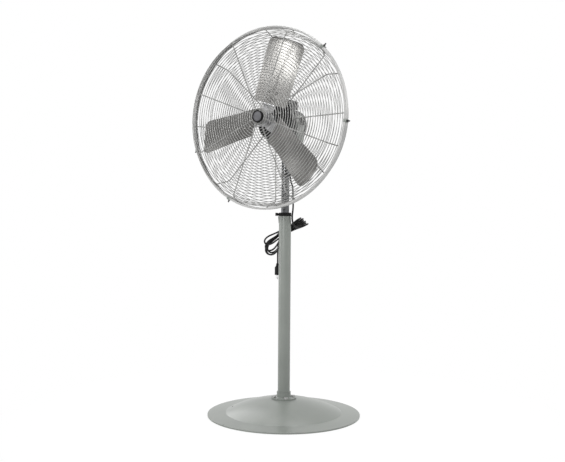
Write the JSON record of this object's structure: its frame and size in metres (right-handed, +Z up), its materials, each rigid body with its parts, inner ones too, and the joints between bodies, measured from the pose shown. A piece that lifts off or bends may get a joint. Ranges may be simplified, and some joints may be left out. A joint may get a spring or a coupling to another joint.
{
  "type": "pedestal_fan",
  "caption": "Industrial pedestal fan with a round grey base, telescoping chromed mast, yoke-hung motor, wire-caged aluminium blades and a black mains cord hung in a hank behind the pole.",
  "frame": {"origin": "on the floor under the pole's axis, at the centre of the round base", "axes": "+Z up along the pole, the fan blows towards -Y, +X to the right of someone looking along +Y at the front"},
  "size_m": [0.8402, 0.712, 1.781],
  "materials": {
    "grey_paint": "satin grey enamel, slightly green",
    "bell_paint": "satin mid-grey enamel",
    "black_paint": "gloss black enamel",
    "guard_wire": "bright zinc-plated wire",
    "black_plastic": "moulded black plastic",
    "nylon": "natural nylon",
    "chromed_tube": "bright chrome plate",
    "dark_steel": "black oxide",
    "bright_steel": "zinc-plated",
    "cord_jacket": "black flexible vinyl",
    "tie_plastic": "black wrap strap",
    "brass_prongs": "plain stamped brass",
    "lamination": "stacked electrical steel",
    "copper_wire": "enamelled copper wire",
    "can_aluminium": "drawn can",
    "blade_aluminium": "dull rolled sheet",
    "badge_grey": "dark grey disc, bare"
  },
  "bodies": {
    "stand": {"base_dish": "grey_paint", "foot_flange": "grey_paint", "flange_bolts": "dark_steel", "flange_nuts": "dark_steel", "lower_pole": "grey_paint", "pole_collar": "black_plastic", "collar_bracket": "grey_paint"},
    "lock": {"lock_screw": "bright_steel", "lock_knob": "black_plastic"},
    "guide": {"mast_guide": "nylon"},
    "mast": {"mast_tube": "chromed_tube", "yoke": "grey_paint", "socket_bolts": "dark_steel", "cord_clip": "dark_steel", "motor_lead": "cord_jacket", "cord_drop": "cord_jacket", "cord_hank": "cord_jacket", "cord_tie": "tie_plastic", "cord_tail": "cord_jacket", "plug_body": "cord_jacket", "plug_prongs": "brass_prongs"},
    "head": {"motor_shell": "black_paint", "front_bell": "black_paint", "rear_bell": "bell_paint", "stator_core": "lamination", "stator_windings": "copper_wire", "front_bearing": "bright_steel", "rear_bearing": "bright_steel", "motor_band": "grey_paint", "tilt_studs": "bright_steel", "switch_box": "black_paint", "switch_lid": "black_paint", "lid_screws": "bright_steel", "capacitor": "can_aluminium", "cord_gland": "black_plastic", "guard_mount_ring": "grey_paint", "mount_screws": "bright_steel", "rear_guard_rings": "guard_wire", "rear_guard_shoulder": "guard_wire", "rear_guard_ribs": "guard_wire", "front_guard_rings": "guard_wire", "front_guard_shoulder": "guard_wire", "front_guard_ribs": "guard_wire", "rim_band": "grey_paint", "guard_plate": "guard_wire", "guard_badge": "badge_grey", "rim_clips": "grey_paint", "clip_screws": "dark_steel"},
    "tilt_left": {"tilt_knob_left": "black_plastic"},
    "tilt_right": {"tilt_knob_right": "black_plastic"},
    "speed": {"speed_knob": "black_plastic"},
    "rotor": {"motor_shaft": "bright_steel", "rotor_core": "lamination", "fan_hub": "blade_aluminium", "hub_screw": "dark_steel", "blade_spider": "blade_aluminium", "blade_1": "blade_aluminium", "blade_2": "blade_aluminium", "blade_3": "blade_aluminium", "blade_rivets": "blade_aluminium"}
  },
  "joints": [
    {"name": "mast_height", "type": "slide", "parent": "stand", "child": "guide", "axis": [0, 0, 1], "range_m": [-0.115, 0.42]},
    {"name": "mast_swivel", "type": "hinge", "parent": "guide", "child": "mast", "pos_m": [0, 0, 0.6], "axis": [0, 0, 1], "range_deg": [-90, 90]},
    {"name": "head_tilt", "type": "hinge", "parent": "mast", "child": "head", "pos_m": [0, 0, 1.368], "axis": [-1, 0, 0], "range_deg": [-5, 25]},
    {"name": "rotor_spin", "type": "hinge", "parent": "head", "child": "rotor", "pos_m": [0, -0.168, 1.368], "axis": [0, 1, 0], "continuous": true},
    {"name": "lock_turn", "type": "hinge", "parent": "stand", "child": "lock", "pos_m": [-0.03858, -0.02505, 0.9383], "axis": [-0.8387, -0.5446, 0], "continuous": true},
    {"name": "tilt_knob_left_turn", "type": "hinge", "parent": "head", "child": "tilt_left", "pos_m": [-0.095, 0, 1.368], "axis": [-1, 0, 0], "continuous": true},
    {"name": "tilt_knob_right_turn", "type": "hinge", "parent": "head", "child": "tilt_right", "pos_m": [0.095, 0, 1.368], "axis": [1, 0, 0], "continuous": true},
    {"name": "speed_select", "type": "hinge", "parent": "head", "child": "speed", "pos_m": [0, 0.066, 1.452], "axis": [0, 1, 0], "range_deg": [0, 270]}
  ]
}
